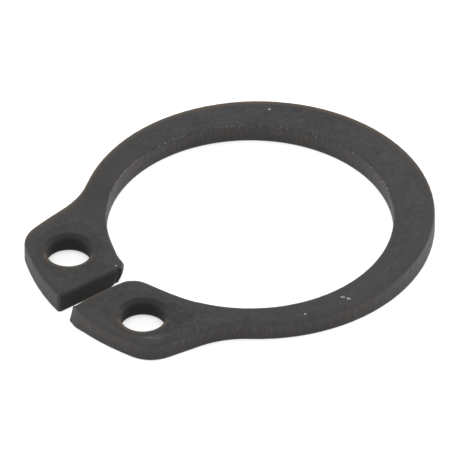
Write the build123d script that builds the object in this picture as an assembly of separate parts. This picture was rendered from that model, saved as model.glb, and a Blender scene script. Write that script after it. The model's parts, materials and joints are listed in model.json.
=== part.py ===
from build123d import *
import os
from math import asin, cos, hypot, radians, sin, sqrt, tan

# External retaining ring for a 15 mm shaft, stamped in one piece from 1 mm spring steel strip.
# It lies flat on Z = 0, its shaft axis is Z, and the gap between its lugs faces -X.
# All lengths are in millimetres and all angles in degrees.

# The ring
inner_diameter = 13.8       # free inner diameter, a little under the groove that it snaps into
thickness = 1.0             # of the strip
widest_wall = 2.07          # radial width opposite the gap
narrowest_wall = 1.0        # radial width that the outer circle would have at the gap
gap_width = 1.0             # between the two lugs, ring relaxed

# The lugs
lug_height = 3.99           # from the inner circle out to the tip
plier_hole_diameter = 2.4
lug_tip_wall = 0.69         # steel left between a plier hole and the lug's tip
lug_side_wall = 1.12        # steel left between a plier hole and the lug's side
lug_face_wall = 1.3         # steel left between a plier hole and the lug's end face in the gap
lug_side_lean = 8.3         # how far the lug's side opens towards the ring
lug_corner_radius = 1.7     # convex, between a lug's tip and its side
lug_root_radius = 4.5       # concave, where a lug's side runs into the ring

# The mouth of the gap
flare_half_width = 2.45     # where the inner edge leaves the circle on a straight tangent
gap_mouth_radius = 0.95     # convex, where that tangent turns into the lug's end face
gap_tip_radius = 0.1        # convex, where the end face meets the lug's tip

# The edges that stamping and tumbling leave
die_roll_radius = 0.12      # all round the top face
burr_edge_radius = 0.08     # all round the bottom face

# What follows from them
inner_radius = inner_diameter / 2
outer_radius = inner_radius + (widest_wall + narrowest_wall) / 2
outer_centre = (widest_wall - narrowest_wall) / 2
lug_tip_radius = inner_radius + lug_height
hole_radius = plier_hole_diameter / 2
hole_centre_radius = lug_tip_radius - lug_tip_wall - hole_radius
hole_y = gap_width / 2 + lug_face_wall + hole_radius
hole_x = -sqrt(hole_centre_radius**2 - hole_y**2)
flare_angle = asin(flare_half_width / inner_radius)
touching = 1e-4             # how near two points count as the same


def mirrored(points):
    """A run of points above the X axis, then its mirror image below, back to front."""
    return points + [(x, -y) for x, y in reversed(points)]


def corners_on_circle(shape, centre_x, radius):
    """The shape's corners on the gap's side that lie on a circle centred on the X axis."""
    return [
        corner
        for corner in shape.vertices()
        if corner.X < 0 and abs(hypot(corner.X - centre_x, corner.Y) - radius) < touching
    ]


def corners_on_gap(shape):
    """The shape's corners on the two end faces of the gap."""
    return [corner for corner in shape.vertices() if abs(abs(corner.Y) - gap_width / 2) < touching]


def lug_blank():
    """Both lugs as one tongue: straight sides that lean in, ended by an arc about the shaft axis."""
    lean = radians(lug_side_lean)
    side_offset = hole_radius + lug_side_wall
    side_x = hole_x - side_offset * sin(lean)
    side_y = hole_y + side_offset * cos(lean)
    root_y = side_y - side_x * tan(lean)
    tip_y = root_y - lug_tip_radius * tan(lean)
    tongue = Polygon(*mirrored([(0, root_y), (-lug_tip_radius, tip_y)]), align=None)
    return tongue & Circle(lug_tip_radius)


def outer_outline():
    """The ring's eccentric outer circle with the tongue of the lugs blended into it."""
    blank = Pos(outer_centre, 0) * Circle(outer_radius) + lug_blank()
    blank = fillet(corners_on_circle(blank, outer_centre, outer_radius), lug_root_radius)
    return fillet(corners_on_circle(blank, 0, lug_tip_radius), lug_corner_radius)


def shaft_opening():
    """The inner circle, drawn out along its two tangents to a point inside the gap."""
    tangent_x = -inner_radius * cos(flare_angle)
    apex_x = -inner_radius / cos(flare_angle)
    flare = Polygon((tangent_x, flare_half_width), (apex_x, 0), (tangent_x, -flare_half_width), align=None)
    return Circle(inner_radius) + flare


def gap_slot():
    """The parallel-sided slot that parts the lugs, from the shaft axis out past their tips."""
    length = 2 * lug_tip_radius
    return Pos(-length / 2, 0) * Rectangle(length, gap_width)


def plan():
    """The ring seen from above, with the corners of the gap rounded."""
    flat = outer_outline() - shaft_opening() - gap_slot()
    for side in (1, -1):
        flat -= Pos(hole_x, side * hole_y) * Circle(hole_radius)
    mouth = [corner for corner in corners_on_gap(flat) if corner.X > -hole_centre_radius]
    flat = fillet(mouth, gap_mouth_radius)
    tips = [corner for corner in corners_on_gap(flat) if corner.X < -hole_centre_radius]
    return fillet(tips, gap_tip_radius)


def retaining_ring():
    """The stamping: the plan at full thickness, with its top and bottom edges rounded."""
    ring = extrude(plan(), thickness)
    ring = fillet(ring.edges().group_by(Axis.Z)[-1], die_roll_radius)
    return fillet(ring.edges().group_by(Axis.Z)[0], burr_edge_radius)


os.makedirs("parts", exist_ok=True)
export_step(retaining_ring(), "parts/retaining_ring.step")
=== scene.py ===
import json
import math

import bpy
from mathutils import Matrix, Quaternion, Vector
from mathutils.kdtree import KDTree


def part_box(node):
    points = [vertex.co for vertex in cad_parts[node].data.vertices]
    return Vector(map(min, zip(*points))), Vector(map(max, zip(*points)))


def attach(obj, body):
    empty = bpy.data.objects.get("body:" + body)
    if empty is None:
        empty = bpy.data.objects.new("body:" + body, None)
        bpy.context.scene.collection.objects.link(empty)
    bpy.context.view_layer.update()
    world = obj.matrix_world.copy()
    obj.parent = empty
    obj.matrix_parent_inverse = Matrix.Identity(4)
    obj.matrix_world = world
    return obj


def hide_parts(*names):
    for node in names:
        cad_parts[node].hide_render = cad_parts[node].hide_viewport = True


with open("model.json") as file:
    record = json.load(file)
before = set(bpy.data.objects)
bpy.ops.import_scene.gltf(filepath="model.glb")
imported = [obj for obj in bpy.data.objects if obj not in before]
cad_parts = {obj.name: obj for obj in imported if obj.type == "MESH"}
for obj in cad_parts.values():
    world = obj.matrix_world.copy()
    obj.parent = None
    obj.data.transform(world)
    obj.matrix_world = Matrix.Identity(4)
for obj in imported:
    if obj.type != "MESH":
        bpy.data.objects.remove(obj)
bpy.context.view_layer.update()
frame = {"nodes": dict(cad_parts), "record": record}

mm = 0.001


# ---- Retaining ring ----
# An open ring stamped in one blow from hardened spring steel strip, with a lug at each end.
# The punch rolls the upper edges over and leaves the cut walls torn, and tumbling then softens
# every edge. A manganese phosphate bath turns the steel matt black, and oil fills its pores.

solid = frame["nodes"]["retaining_ring"]
low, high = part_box("retaining_ring")
thickness = high.z - low.z
mounts = {mount["name"]: mount for mount in frame["record"]["mounts"]}
inner_radius = mounts["shaft_seat"]["dims"]["r_mm"] * mm
plier_holes = [mounts["plier_hole_left"], mounts["plier_hole_right"]]
hole_radius = plier_holes[0]["dims"]["r_mm"] * mm
hole_centres = [Vector(hole["pos_m"]).xy for hole in plier_holes]
lug_start = -0.85 * inner_radius     # the opening is round from here towards +X


def copy_of_solid(name):
    """The stamping's shape as a mesh of its own, with its loose triangles joined up."""
    bpy.ops.object.select_all(action="DESELECT")
    copy = bpy.data.objects.new(name, solid.data.copy())
    bpy.context.scene.collection.objects.link(copy)
    bpy.context.view_layer.objects.active = copy
    copy.select_set(True)
    copy.data.materials.clear()
    bpy.ops.object.mode_set(mode="EDIT")
    bpy.ops.mesh.select_all(action="SELECT")
    bpy.ops.mesh.remove_doubles(threshold=0.001 * mm)
    bpy.ops.object.mode_set(mode="OBJECT")
    return copy


def apply_modifier(piece, kind, **settings):
    """Adds a modifier, sets it, and applies it to the piece's mesh."""
    modifier = piece.modifiers.new(kind, kind)
    for setting, value in settings.items():
        setattr(modifier, setting, value)
    bpy.ops.object.modifier_apply(modifier=modifier.name)


def fade(distance, reach):
    """1 where the distance is nothing, falling smoothly to 0 at the reach."""
    return max(0.0, 1 - distance / reach) ** 2


def bell(place, middle, reach):
    """1 at a point of the plan, falling off like a bell around it."""
    return math.exp(-((place.xy - Vector(middle)).length / reach) ** 2)


# The stamping is remade in small even faces, and drawn back onto its shape with tumbled edges.
skin_size = 0.06 * mm                # side of one small face
edge_round = 0.09 * mm               # radius that tumbling leaves on an edge the press left sharp
flat_turn = math.radians(0.5)        # facets that turn less than this are one face
sharp_turn = math.radians(40)        # edges that turn more than this are rounded
round_steps = 4                      # faces across such a rounded edge
drawing_passes = 3                   # times the skin is evened out and drawn back onto the shape
evening_steps = 3

ring = copy_of_solid("ring")
template = copy_of_solid("template")
apply_modifier(template, "DECIMATE", decimate_type="DISSOLVE", angle_limit=flat_turn)
apply_modifier(template, "BEVEL", width=edge_round, segments=round_steps, limit_method="ANGLE",
               angle_limit=sharp_turn)
bpy.ops.object.select_all(action="DESELECT")
bpy.context.view_layer.objects.active = ring
ring.select_set(True)
apply_modifier(ring, "REMESH", mode="VOXEL", voxel_size=skin_size)
for _ in range(drawing_passes):
    apply_modifier(ring, "SMOOTH", factor=0.5, iterations=evening_steps)
    apply_modifier(ring, "SHRINKWRAP", target=template, wrap_method="NEAREST_SURFACEPOINT")
bpy.data.objects.remove(template)


def round_opening(mesh):
    """Lays the two rims of the shaft opening exactly on their small round."""
    for vertex in mesh.vertices:
        place = vertex.co
        out = place.xy.length - inner_radius
        depth = min(high.z - place.z, place.z - low.z)
        if out > edge_round or depth > edge_round or place.x < lug_start:
            continue
        across = Vector((out - edge_round, depth - edge_round)).normalized() * edge_round
        flat = place.xy.normalized() * (inner_radius + edge_round + across.x)
        rise = edge_round + across.y
        is_upper = place.z > (low.z + high.z) / 2
        vertex.co = (flat.x, flat.y, high.z - rise if is_upper else low.z + rise)


round_opening(ring.data)

# A cut wall is told by the way it faces and by what it lies beside.
level_facing = 0.3                   # a normal that rises more than this is on a face or a rim
gap_facing = 0.9                     # a normal that points more than this along Y is on an end face
hole_surround = 1.2 * hole_radius
gap_surround = 0.1 * inner_radius


def wall_kind(place, normal):
    """Which cut wall a point of the mesh lies on, or None on the two faces and their rounded edges."""
    if abs(normal.z) > level_facing:
        return None
    if min((place.xy - centre).length for centre in hole_centres) < hole_surround:
        return "hole"
    if place.x < 0 and abs(place.y) < gap_surround and abs(normal.y) > gap_facing:
        return "gap"
    return "outer" if normal.xy.dot(place.xy) > 0 else "inner"


def nearest_walls(mesh):
    """Three lists with an entry for each vertex: its nearest wall's kind, distance and facing."""
    walls = []
    for vertex in mesh.vertices:
        kind = wall_kind(vertex.co, vertex.normal)
        if kind:
            walls.append((vertex.co, kind, vertex.normal.xy.normalized()))
    tree = KDTree(len(walls))
    for number, (place, kind, facing) in enumerate(walls):
        tree.insert((place.x, place.y, 0), number)
    tree.balance()
    kinds, distances, facings = [], [], []
    for vertex in mesh.vertices:
        spot, number, distance = tree.find((vertex.co.x, vertex.co.y, 0))
        place, kind, facing = walls[number]
        kinds.append(kind)
        distances.append(distance)
        facings.append(facing)
    return kinds, distances, facings


kinds, distances, facings = nearest_walls(ring.data)

# Each wall was cut a little proud, and the whole of it a little off its place in the plan.
wall_growth = {"outer": 0.04 * mm, "inner": 0.035 * mm}
wall_shift = {"outer": (0.004 * mm, 0.05 * mm), "inner": (0 * mm, -0.05 * mm)}
shift_reach = 0.9 * mm               # from the wall, over which that dies out
shoulder = (-7.2 * mm, 5.5 * mm)     # the outer bend of the lug on the +Y side
shoulder_growth = 0.12 * mm
shoulder_reach = 2 * mm


def shift_walls(mesh):
    """Moves the outer wall and the opening's wall to where the press cut them."""
    for vertex, kind, distance, facing in zip(mesh.vertices, kinds, distances, facings):
        if kind not in wall_growth:
            continue
        push = wall_growth[kind] * facing + Vector(wall_shift[kind])
        if kind == "outer":
            push += shoulder_growth * bell(vertex.co, shoulder, shoulder_reach) * facing
        push *= fade(distance, shift_reach)
        vertex.co.x += push.x
        vertex.co.y += push.y


shift_walls(ring.data)

# How far the punch drags the upper face down beside each kind of wall, and how wide that runs.
roll_depth = {"outer": 0.07 * mm, "inner": 0.02 * mm, "hole": 0.03 * mm, "gap": 0.012 * mm}
roll_width = {"outer": 0.42 * mm, "inner": 0.2 * mm, "hole": 0.12 * mm, "gap": 0.15 * mm}
roll_power = 4                       # how soon that dies out below the upper face


def roll_edges(mesh):
    """Drags the upper face down beside every wall, as the punch does."""
    for vertex, kind, distance in zip(mesh.vertices, kinds, distances):
        height = (vertex.co.z - low.z) / thickness
        vertex.co.z -= roll_depth[kind] * fade(distance, roll_width[kind]) * height**roll_power


roll_edges(ring.data)

hole_waist = 0.18 * mm               # how far a plier hole narrows halfway down
waist_power = 4                      # how evenly it keeps to that between its two rims


def narrow_holes(mesh):
    """Gives each plier hole its waist, where the blank tore away between the punch and the die."""
    for vertex in mesh.vertices:
        height = (vertex.co.z - low.z) / thickness
        for centre in hole_centres:
            out = vertex.co.xy - centre
            beyond = max(0, out.length - hole_radius)
            if beyond < hole_radius:
                pull = hole_waist * (1 - (2 * height - 1) ** waist_power)
                out -= pull * fade(beyond, hole_radius) * out.normalized()
                vertex.co.x, vertex.co.y = centre + out


narrow_holes(ring.data)

gap_closing = 0.1 * mm               # how far each lug springs in towards the other
gap_reach = 2.5 * mm                 # over which that dies out

crown_height = 0.11 * mm             # of the end face of the lug on the -Y side
crown_middle = -1.3 * inner_radius
crown_reach = 1.3 * mm

tip = (low.x, -0.06 * inner_radius)  # the outer corner of that end face
tip_loss = 0.13 * mm                 # steel rubbed off the very point of it
tip_reach = 0.32 * mm
foot = (low.x, -0.08 * inner_radius)
foot_spread = 0.22 * mm              # how far the same corner spreads towards its underside
foot_way = (-0.8, 0.6)
foot_middle = 0.45                   # depth at which it stands plumb, as a share of the thickness
foot_reach = 0.65 * mm

mouth = (-1.06 * inner_radius, 0.09 * inner_radius)     # where the lug on the +Y side ends inside
mouth_lip = 0.21 * mm                # steel left there
mouth_turn = 0.25                    # share of the lip that leans back to the gap
mouth_loss = 0.2 * mm                # steel missing there, at the underside
mouth_reach = 0.5 * mm


def shape_lugs(mesh):
    """Springs the lugs together, and gives each end face the corners and crown that it was cut with."""
    for vertex in mesh.vertices:
        place = vertex.co
        if place.x > 0:
            continue
        if abs(place.y) < gap_reach:
            place.y -= math.copysign(gap_closing * fade(abs(place.y), gap_reach), place.y)
        below = 1 - (place.z - low.z) / thickness
        if place.y > 0:
            near_mouth = bell(place, mouth, mouth_reach)
            loss = mouth_loss * near_mouth * below**2
            place.x += mouth_lip * near_mouth - loss
            place.y += loss - mouth_turn * mouth_lip * near_mouth
        else:
            crown = crown_height * math.exp(-((place.x - crown_middle) / crown_reach) ** 2)
            place.y += crown * fade(-place.y, gap_reach)
            spread = foot_spread * bell(place, foot, foot_reach) * (below - foot_middle)
            place.x += foot_way[0] * spread
            place.y += foot_way[1] * spread
            place.x += tip_loss * bell(place, tip, tip_reach)


shape_lugs(ring.data)

wave_height = 0.004 * mm             # how far the strip's two faces lift and dip
wave_length = 1.8 * mm
grain_height = 0.002 * mm            # of the etched crystals
grain_length = 0.2 * mm


def cloud(name, size, depth):
    """A soft random height field for the Displace modifier."""
    texture = bpy.data.textures.new(name, "CLOUDS")
    texture.noise_scale = size
    texture.noise_depth = depth
    return texture


apply_modifier(ring, "DISPLACE", texture=cloud("strip_waves", wave_length, 1),
               strength=2 * wave_height, mid_level=0.5)
apply_modifier(ring, "DISPLACE", texture=cloud("crystals", grain_length, 2),
               strength=2 * grain_height, mid_level=0.5)


def keep_on_points(name, values):
    """Stores a number on each vertex, for the material to read."""
    ring.data.attributes.new(name, "FLOAT", "POINT").data.foreach_set("value", values)


keep_on_points("edge_distance", [distance / mm for distance in distances])
# The walls of the holes and the gap, which the material darkens as painted shade.
keep_on_points("painted_shade_of_cut", [1.0 if kind in ("hole", "gap") else 0.0 for kind in kinds])
keep_on_points("inside_edge", [1.0 if kind == "inner" else 0.0 for kind in kinds])
bpy.ops.object.shade_smooth()


class Wire:
    """One socket of a material's node tree. Arithmetic on wires adds Math nodes."""

    def __init__(self, tree, socket):
        self.tree = tree
        self.socket = socket

    def node(self, kind, settings=None, inputs=None, output=0):
        """Adds a node: its settings first, then the values or wires of its sockets."""
        made = self.tree.nodes.new(kind)
        for setting, value in (settings or {}).items():
            setattr(made, setting, value)
        for name, value in (inputs or {}).items():
            if isinstance(value, Wire):
                self.tree.links.new(value.socket, made.inputs[name])
            else:
                made.inputs[name].default_value = value
        return Wire(self.tree, made.outputs[output])

    def math(self, operation, *values):
        """A Math node on this wire and the values given."""
        return self.node("ShaderNodeMath", {"operation": operation}, dict(enumerate((self, *values))))

    def __add__(self, other):
        return self.math("ADD", other)

    def __radd__(self, other):
        return self.math("ADD", other)

    def __sub__(self, other):
        return self.math("SUBTRACT", other)

    def __rsub__(self, other):
        return self.node("ShaderNodeMath", {"operation": "SUBTRACT"}, {0: other, 1: self})

    def __mul__(self, other):
        return self.math("MULTIPLY", other)

    def __rmul__(self, other):
        return self.math("MULTIPLY", other)

    def between(self, start, end):
        """0 where the value is below start and 1 above end, with a smooth turn between them."""
        limits = {"Value": self, "From Min": start, "From Max": end}
        return self.node("ShaderNodeMapRange", {"interpolation_type": "SMOOTHSTEP"}, limits)

    def vector(self, operation, other, output="Vector"):
        """A Vector Math node on this wire and another, or on this wire and three numbers."""
        return self.node("ShaderNodeVectorMath", {"operation": operation}, {0: self, 1: other}, output)

    def feed(self, shader, name):
        """Links this wire to one of the shader's sockets."""
        self.tree.links.new(self.socket, shader.inputs[name])


def new_material(name):
    """An empty material, with a wire into its tree and its main shader."""
    material = bpy.data.materials.new(name)
    material.use_nodes = True
    shader = material.node_tree.nodes["Principled BSDF"]
    return material, Wire(material.node_tree, None), shader


dark_phosphate = (0.0240, 0.0240, 0.0252)
pale_phosphate = (0.0480, 0.0480, 0.0516)
# the colour of a darker patch on the upper face
darker_phosphate = (0.0260, 0.0260, 0.0272)
warm_edge = (0.040, 0.036, 0.032)
rubbed_wall_and_sheen = (0.086, 0.080, 0.075)  # streaks where the punch slid along a cut wall, lightened in part as a painted sheen
torn_wall = (0.026, 0.024, 0.0225)   # the rougher half of a wall, towards the underside
# painted shade for the walls inside the holes and the gap
painted_shade_wall = (0.019, 0.0183, 0.0172)
dried_oil = (0.120, 0.080, 0.046)
chipped_rim = (0.22, 0.21, 0.20)
# a painted highlight where one rolled edge begins to bend
painted_crease_highlight = (0.12, 0.12, 0.12)
bare_steel = (0.42, 0.41, 0.38)

oily_side = (0.59, 0.81, 0)          # edges that lean this way kept a brown film of dried oil
dark_patch_middle = (-4.6, 6.6, 1)         # in millimetres, the darkest part of the upper face
crease_highlight_middle = (-9.6, -5.2, 1)      # in millimetres, where a faint painted highlight runs along the rolled edge

# The grain of the finish, with sizes in millimetres.
patch_size = 2.6                     # slow clouds of lighter and darker grey
mottle_size = 0.3
crystal_size = 0.13
pore_size = 0.09
pore_depth = 0.025 * mm
tear_size = 0.11                     # streaks on the cut walls, long in the way of the punch
tear_stretch = (1, 1, 0.25)
film_size = 1.4                      # spots where the oil film is thicker
film_grain = 0.25
chip_size = 0.13
dull_gloss = 0.25                    # the pores take half of the gloss that bare steel would have

# Bright nicks in the upper face: x and y, then the radius, all in millimetres.
nicks = [
    (-0.16, -7.54, 0.07),
    (-0.10, -7.62, 0.07),
    (0.00, -7.80, 0.08),
    (0.05, -7.88, 0.07),
    (-3.88, -7.48, 0.11),
    (-2.30, -7.52, 0.07),
    (-0.74, -8.80, 0.12),
    (5.58, 5.89, 0.08),
    (-7.36, 0.71, 0.06),
]


def phosphated_steel():
    """Matt grey-black phosphate on spring steel, browner where an edge is worn and oil has dried."""
    material, tree, shader = new_material("phosphated_spring_steel")
    place = tree.node("ShaderNodeTexCoord", output="Object")
    facing = tree.node("ShaderNodeTexCoord", output="Normal")
    in_mm = tree.node("ShaderNodeVectorMath", {"operation": "SCALE"}, {0: place, "Scale": 1 / mm})
    height = tree.node("ShaderNodeSeparateXYZ", {}, {0: in_mm}, output="Z")
    rise = tree.node("ShaderNodeSeparateXYZ", {}, {0: facing}, output="Z")

    def noise(size, detail=3.0, roughness=0.6, stretch=(1, 1, 1)):
        """Random grain from 0 to 1, with its size in millimetres."""
        spot = in_mm.vector("MULTIPLY", stretch)
        settings = {"Vector": spot, "Scale": 1 / size, "Detail": detail, "Roughness": roughness}
        return tree.node("ShaderNodeTexNoise", {}, settings)

    def kept(name):
        """A number that the mesh keeps on its points."""
        return tree.node("ShaderNodeAttribute", {"attribute_name": name}, output=2)

    def away_from(spot):
        """How many millimetres a point of the surface lies from this one."""
        return in_mm.vector("DISTANCE", spot, output="Value")

    def mix(share, below, above):
        """A colour share of the way from one to the other; each is three numbers or a wire."""
        first, second = [side if isinstance(side, Wire) else (*side, 1) for side in (below, above)]
        return tree.node("ShaderNodeMix", {"data_type": "RGBA"}, {0: share, 6: first, 7: second}, output=2)

    # Where on the stamping a point lies: on a wall, on a rounded rim, near an edge, or in a cut.
    steepness = 1 - rise.math("ABSOLUTE")
    wall = steepness.between(0.15, 0.95)
    rim = steepness.between(0.04, 0.3) * (1 - steepness.between(0.5, 0.9))
    edge = kept("edge_distance")
    cut = kept("painted_shade_of_cut")
    inside = kept("inside_edge")
    leaning = facing.vector("DOT_PRODUCT", oily_side, output="Value")

    # The phosphate: grey crystals in patches, darkest at one lug's root and warmer near the edges.
    mottle = noise(mottle_size, detail=5.0, roughness=0.75)
    patches = noise(patch_size)
    grey = (0.45 * mottle + 0.3 * noise(crystal_size) + 0.25 * patches).between(0.38, 0.62)
    colour = mix(grey, dark_phosphate, pale_phosphate)
    # Darker in a broad patch round one lug's root.
    dark_patch = 1 - away_from(dark_patch_middle).between(1.5, 4.5)
    colour = mix(0.6 * dark_patch, colour, darker_phosphate)
    near_edge = 1 - edge.between(0.1, 0.9)
    colour = mix(0.6 * near_edge * patches.between(0.3, 0.6), colour, warm_edge)

    # The walls: light streaks along the cut, partly a painted sheen, torn below, and painted shade inside
    # the holes and the gap.
    tear = noise(tear_size, detail=4.0, stretch=tear_stretch)
    colour = mix(wall * (0.3 + 0.5 * tear.between(0.42, 0.72)), colour, rubbed_wall_and_sheen)
    torn = wall * (1 - height.between(0.25, 0.7))
    colour = mix(0.28 * torn, colour, torn_wall)
    dried = leaning.between(0.02, 0.15) * (1 - steepness.between(0.2, 0.5))
    # Painted shade in the holes and the gap: darkest on walls that face against oily_side and on their
    # steep parts.
    painted_shade_side = (0 - leaning).between(0.08, 0.3)
    painted_shade = cut * painted_shade_side.math("MAXIMUM", steepness.between(0.06, 0.3) * (1 - dried))
    colour = mix(0.9 * painted_shade, colour, painted_shade_wall)

    # The rims: a brown film on one side, thicker in places, and chips round the opening.
    film = 0.5 * noise(film_grain, detail=4.0) + 0.5 * noise(film_size)
    worn = rim * film.between(0.44, 0.62)
    colour = mix(dried * (0.35 + 0.6 * worn), colour, dried_oil)
    chipped = rim * inside * (1 - dried) * noise(chip_size, detail=2.0).between(0.56, 0.64)
    colour = mix(0.5 * chipped, colour, chipped_rim)

    # A painted highlight along one rolled edge, and a few nicks down to the steel as marks of handling.
    along_edge = edge.between(0.38, 0.46) * (1 - edge.between(0.46, 0.54))
    crease_highlight = along_edge * (1 - away_from(crease_highlight_middle).between(0.7, 1.5))
    colour = mix(0.4 * crease_highlight, colour, painted_crease_highlight)
    nicked = 0
    for x, y, size in nicks:
        nicked = nicked + (1 - away_from((x, y, 1)).between(0.5 * size, size))
    colour = mix(0.7 * nicked.math("MINIMUM", 1.0), colour, bare_steel)
    colour.feed(shader, "Base Color")

    roughness = 0.6 + 0.3 * (mottle - 0.5) - 0.15 * rim + 0.2 * cut
    roughness.feed(shader, "Roughness")

    pores = noise(pore_size, detail=4.0, roughness=0.75)
    relief = 0.5 * pores * (1 - wall) + wall * (0.8 * tear + 0.4 * pores)
    settings = {"Strength": 0.7, "Distance": pore_depth, "Height": relief}
    tree.node("ShaderNodeBump", {}, settings).feed(shader, "Normal")
    shader.inputs["Specular IOR Level"].default_value = dull_gloss
    return material


ring.data.materials.append(phosphated_steel())
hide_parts("retaining_ring")
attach(ring, "root")


# ---- Floor ----
# A plain sheet of white card that the ring lies on, big enough to fill the view from any side.
# It is matt, lies just clear of the ring's underside, and takes the ring's soft shadow.

floor_size = 1200 * mm
card_drop = 0.01 * mm
card_grey = 0.55
card_glow = 0.62                     # brings the lit card up to white in sight and in reflections

bpy.ops.object.select_all(action="DESELECT")
bpy.ops.mesh.primitive_plane_add(size=floor_size, location=(0, 0, low.z - card_drop))
floor = bpy.context.object
floor.name = "floor"
bpy.ops.object.transform_apply(location=True)


def white_card():
    """Card that is plain white to the eye and to gloss, and still takes the ring's soft shadow."""
    material, tree, shader = new_material("white_card")
    seen = tree.node("ShaderNodeLightPath", output="Is Camera Ray")
    for kind in ("Is Glossy Ray", "Is Transmission Ray"):
        seen = seen.math("MAXIMUM", tree.node("ShaderNodeLightPath", output=kind))
    seen.feed(shader, "Emission Color")
    shader.inputs["Emission Strength"].default_value = card_glow
    shader.inputs["Base Color"].default_value = (card_grey, card_grey, card_grey, 1)
    shader.inputs["Roughness"].default_value = 1.0
    shader.inputs["Specular IOR Level"].default_value = 0.0
    return material


floor.data.materials.append(white_card())


# ---- Light ----
# A pale room and five soft boxes: one high above, one behind, one low in front of the gap's side,
# and one low at each side, which light the cut walls.

room_strength = 0.5
box_distance = 0.4

world = bpy.data.worlds.new("room")
world.use_nodes = True
world.node_tree.nodes["Background"].inputs["Color"].default_value = (1, 1, 1, 1)
world.node_tree.nodes["Background"].inputs["Strength"].default_value = room_strength
bpy.context.scene.world = world


def direction(azimuth, rise):
    """The way from the ring to a lamp or camera at this azimuth and height, both in radians."""
    level = math.cos(rise)
    return Vector((math.sin(azimuth) * level, -math.cos(azimuth) * level, math.sin(rise)))


def soft_box(name, azimuth, rise, size, power):
    """A square lamp that looks at the ring from this side, with its angles in degrees."""
    away = direction(math.radians(azimuth), math.radians(rise))
    lamp = bpy.data.objects.new(name, bpy.data.lights.new(name, "AREA"))
    lamp.data.size = size
    lamp.data.energy = power
    lamp.location = box_distance * away
    lamp.rotation_mode = "QUATERNION"
    lamp.rotation_quaternion = (-away).to_track_quat("-Z", "Y")
    bpy.context.scene.collection.objects.link(lamp)


soft_box("box_above", azimuth=-36, rise=80, size=0.35, power=0.7)
soft_box("box_behind", azimuth=150, rise=35, size=0.3, power=0.2)
soft_box("box_in_front", azimuth=-36, rise=20, size=0.3, power=0.25)
soft_box("box_right", azimuth=75, rise=18, size=0.2, power=1.0)
soft_box("box_left", azimuth=-140, rise=20, size=0.2, power=0.7)


# ---- Camera ----
# A long lens far off, which shows the ring almost without perspective. It looks down on the ring
# from the gap's side and a little to the right of it.

camera_azimuth = math.radians(-36.40)
camera_rise = math.radians(39.40)
camera_roll = -0.0028
camera_distance = 453.7 * mm
camera_aim = Vector((-0.713, 0.599, 0)) * mm

away = direction(camera_azimuth, camera_rise)
camera = bpy.data.objects.new("camera", bpy.data.cameras.new("camera"))
camera.data.sensor_width = 36.0
camera.data.lens = 741.8
camera.data.clip_start = 10 * mm
camera.data.clip_end = 10
camera.location = camera_aim + camera_distance * away
camera.rotation_mode = "QUATERNION"
camera.rotation_quaternion = (-away).to_track_quat("-Z", "Y") @ Quaternion((0, 0, 1), camera_roll)
bpy.context.scene.collection.objects.link(camera)
bpy.context.scene.camera = camera
bpy.context.scene.view_settings.view_transform = "Standard"
